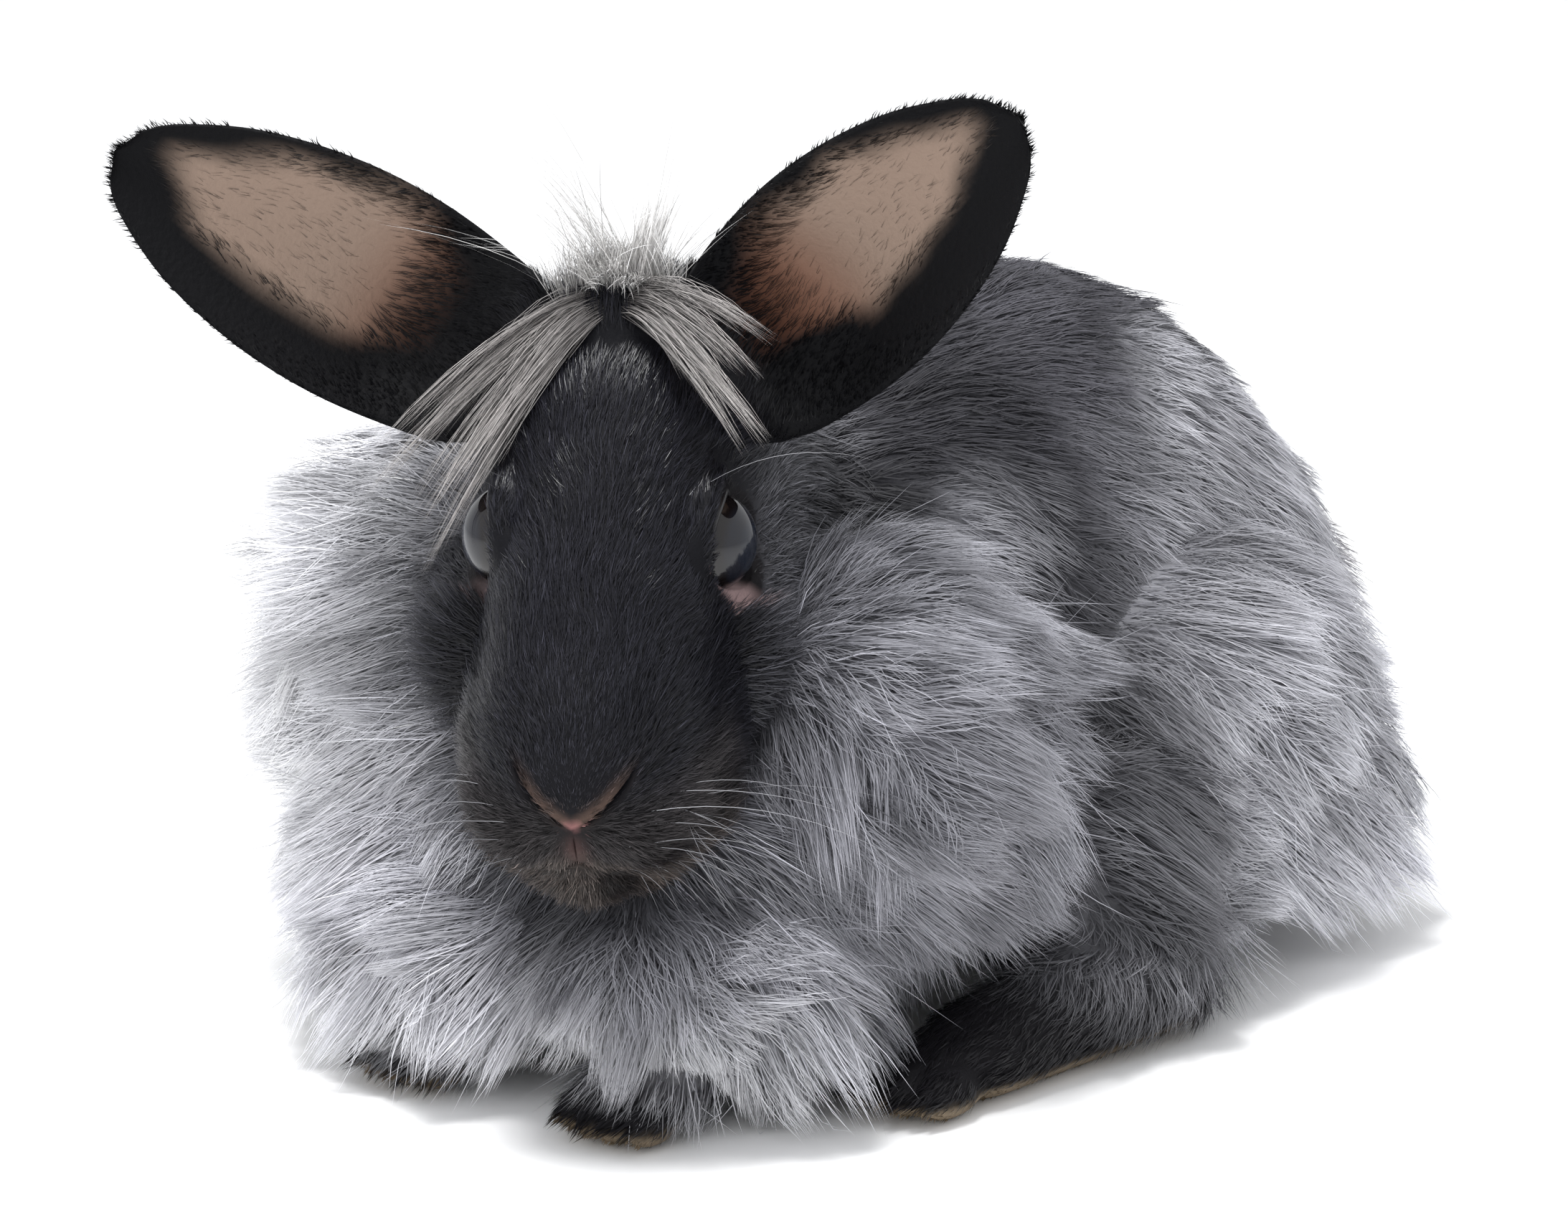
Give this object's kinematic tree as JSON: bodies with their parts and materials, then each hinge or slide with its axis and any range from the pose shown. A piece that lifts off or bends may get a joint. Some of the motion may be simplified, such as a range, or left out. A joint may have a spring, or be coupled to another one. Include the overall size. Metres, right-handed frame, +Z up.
{
  "type": "lionhead rabbit figure",
  "caption": "Life-size still figure of a crouching lionhead rabbit with a long ruff and flank fur, raised ears and its head turned to its left.",
  "frame": {"origin": "middle of the bounding box's base, on the floor", "axes": "+Z up, +Y towards the tail, +X towards the animal's left"},
  "size_m": [0.1928, 0.2816, 0.1782],
  "materials": {
    "black_fur": "short black fur, slightly glossy",
    "ruff": "long soft grey fur, darker at the roots",
    "body_fur": "dark smoke-grey fur, paler and longer on the flanks",
    "eye": "wet gloss, dark brown"
  },
  "bodies": {
    "root": {"ear_left": "black_fur", "ear_right": "black_fur", "eye_left": "eye", "eye_right": "eye", "foreleg_left": "black_fur", "foreleg_right": "black_fur", "forepaw_left": "black_fur", "forepaw_right": "black_fur", "head": "black_fur", "hind_foot_left": "black_fur", "hind_foot_right": "black_fur", "neck_ruff": "ruff", "tail": "body_fur", "thigh_left": "body_fur", "thigh_right": "body_fur", "torso": "body_fur"}
  },
  "joints": []
}
